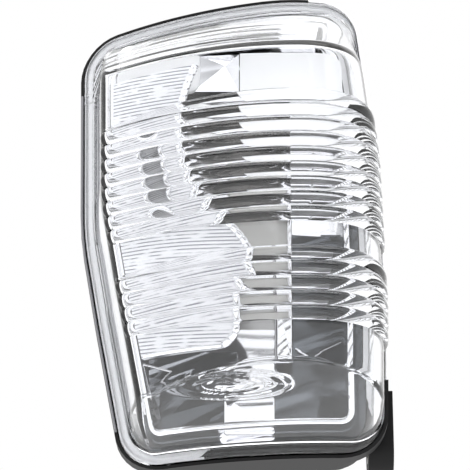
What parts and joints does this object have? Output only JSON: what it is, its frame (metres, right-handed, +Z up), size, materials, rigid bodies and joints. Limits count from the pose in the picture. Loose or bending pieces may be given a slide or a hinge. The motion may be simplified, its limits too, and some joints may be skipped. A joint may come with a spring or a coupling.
{
  "type": "mirror turn signal lamp",
  "caption": "Wraparound turn signal lamp for a door mirror: clear ribbed lens on a dark sealed housing, chrome bowl, flowing inner curtain, quarter-turn bulb holder and fixing ear.",
  "frame": {"origin": "on the housing's flat back face, on the lamp's middle line and at the height of the belt between the two groups of ribs plus a few millimetres", "axes": "+Z up along the lamp's long way, +Y to the back out of the flat back face, -Y out through the lens, +X to the lamp's right as seen from its front, where the lens wraps round"},
  "size_m": [0.0855, 0.0888, 0.134],
  "materials": {
    "clear_lens": "clear, polished moulded acrylic",
    "black_housing": "fine moulded grain",
    "black_rubber": "matt",
    "pale_silicone": "matt",
    "metallised": "vacuum metallised, mirror bright",
    "satin_curtain": "satin metallised",
    "zinc_screw": "zinc plated",
    "silvered_bulb": "mirror coated amber glass",
    "holder_plastic": "glass filled, matt",
    "brass_contact": "bright",
    "natural_plastic": "matt",
    "white_membrane": "matt felted film",
    "steel_bush": "turned, zinc plated",
    "spring_steel": "phosphated spring steel"
  },
  "bodies": {
    "lamp": {"lens": "clear_lens", "housing": "black_housing", "rim_gasket": "pale_silicone", "reflector": "metallised", "curtain": "satin_curtain", "reflector_screws": "zinc_screw", "vent_cap": "black_rubber", "vent_membrane": "white_membrane", "ear_bush": "steel_bush", "retaining_clip": "spring_steel"},
    "holder": {"bulb_holder": "holder_plastic", "bulb": "silvered_bulb", "holder_seal": "black_rubber", "contact_left": "brass_contact", "contact_right": "brass_contact", "terminal_plate": "natural_plastic"}
  },
  "joints": [
    {"name": "holder_turn", "type": "hinge", "parent": "lamp", "child": "holder", "pos_m": [0.001, 0, 0.031], "axis": [0, 1, 0], "range_deg": [0, 45]}
  ]
}
